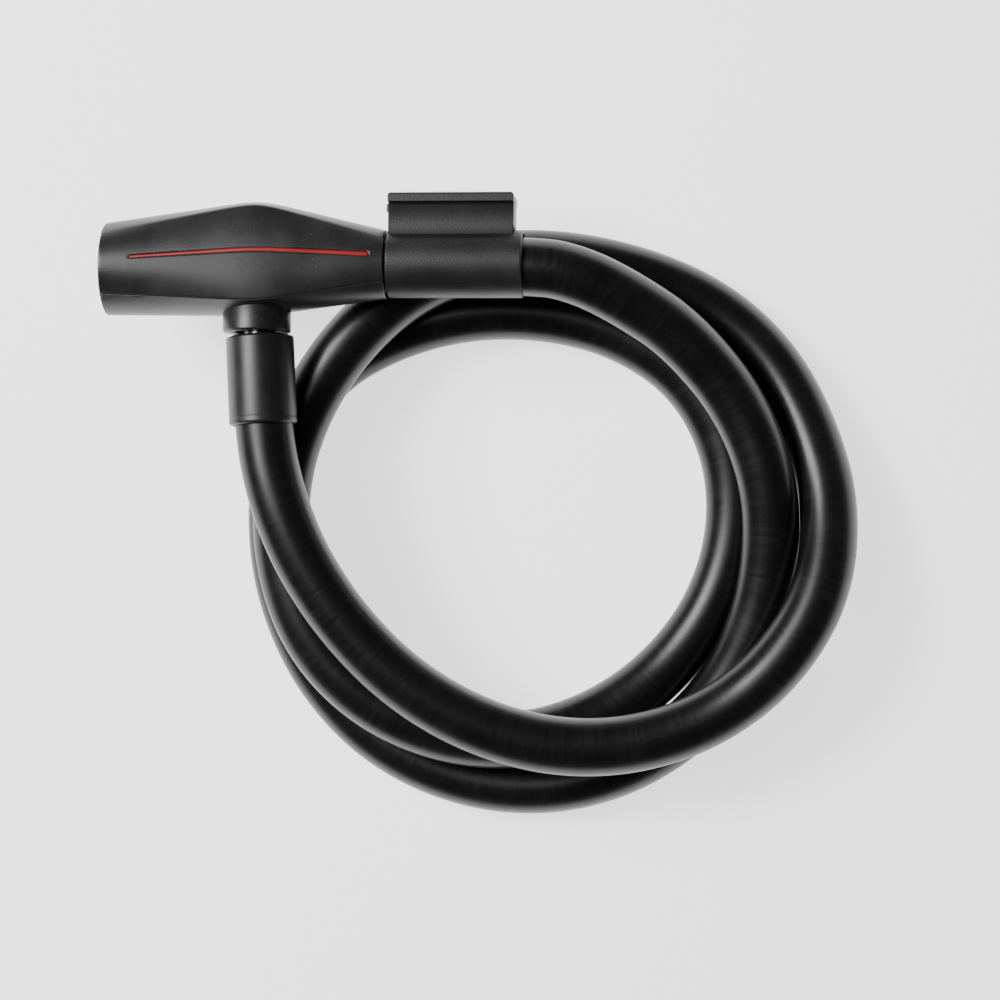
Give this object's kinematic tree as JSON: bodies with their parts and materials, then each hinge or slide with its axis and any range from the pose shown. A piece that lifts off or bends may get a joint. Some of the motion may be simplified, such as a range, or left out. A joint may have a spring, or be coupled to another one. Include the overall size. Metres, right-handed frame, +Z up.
{
  "type": "keyed cable lock",
  "caption": "Keyed cable lock: a thick sheathed steel cable in a loose coil, its plug end locked into the side of a faceted head, with a slip-on frame adapter.",
  "frame": {"origin": "centre of the round key face, on the lock head's axis", "axes": "+X along the head towards the fixed end of the cable, +Z up from the table that the coil lies on, -Y roughly towards the plug's way out"},
  "size_m": [0.1953, 0.163, 0.0472],
  "materials": {
    "cover_plastic": "satin moulded nylon, dark grey-black",
    "accent_red": "bright red inlay",
    "zinc_casting": null,
    "brass": "machined brass",
    "steel": "zinc-plated steel",
    "plug_steel": "hardened and nickel-plated steel",
    "cap_plastic": "satin black moulding",
    "adapter_plastic": "fine-grained charcoal moulding",
    "sheath_pvc": "black extruded PVC, satin gloss with fine cross ripples",
    "strand_steel": "galvanised steel wire strand"
  },
  "bodies": {
    "head": {"rear_cover": "cover_plastic", "front_cover": "cover_plastic", "accent_strip": "accent_red", "lock_body": "zinc_casting", "face_ring": "cover_plastic", "cylinder_barrel": "brass", "stop_pin": "steel", "socket_collar": "cap_plastic", "fixed_end_ferrule": "steel", "fixed_end_pin": "steel", "cable_sheath": "sheath_pvc", "cable_strand": "strand_steel"},
    "key_cylinder": {"cylinder_core": "brass", "wafer_tumblers": "brass", "tumbler_springs": "steel", "locking_cam": "steel"},
    "plug": {"plug_pin": "plug_steel", "plug_cap": "cap_plastic", "plug_ferrule": "steel", "plug_cross_pin": "steel"},
    "adapter": {"frame_adapter": "adapter_plastic"}
  },
  "joints": [
    {"name": "plug_release", "type": "slide", "parent": "head", "child": "plug", "axis": [0.0523, -0.9973, 0.0523], "range_m": [0, 0.028], "deforming": ["cable_sheath", "cable_strand"]},
    {"name": "key_turn", "type": "hinge", "parent": "head", "child": "key_cylinder", "pos_m": [0, 0, 0], "axis": [1, 0, 0], "range_deg": [0, 90]},
    {"name": "adapter_swivel", "type": "hinge", "parent": "head", "child": "adapter", "pos_m": [0.09, 0, 0], "axis": [1, 0, 0], "range_deg": [-20, 110]}
  ]
}
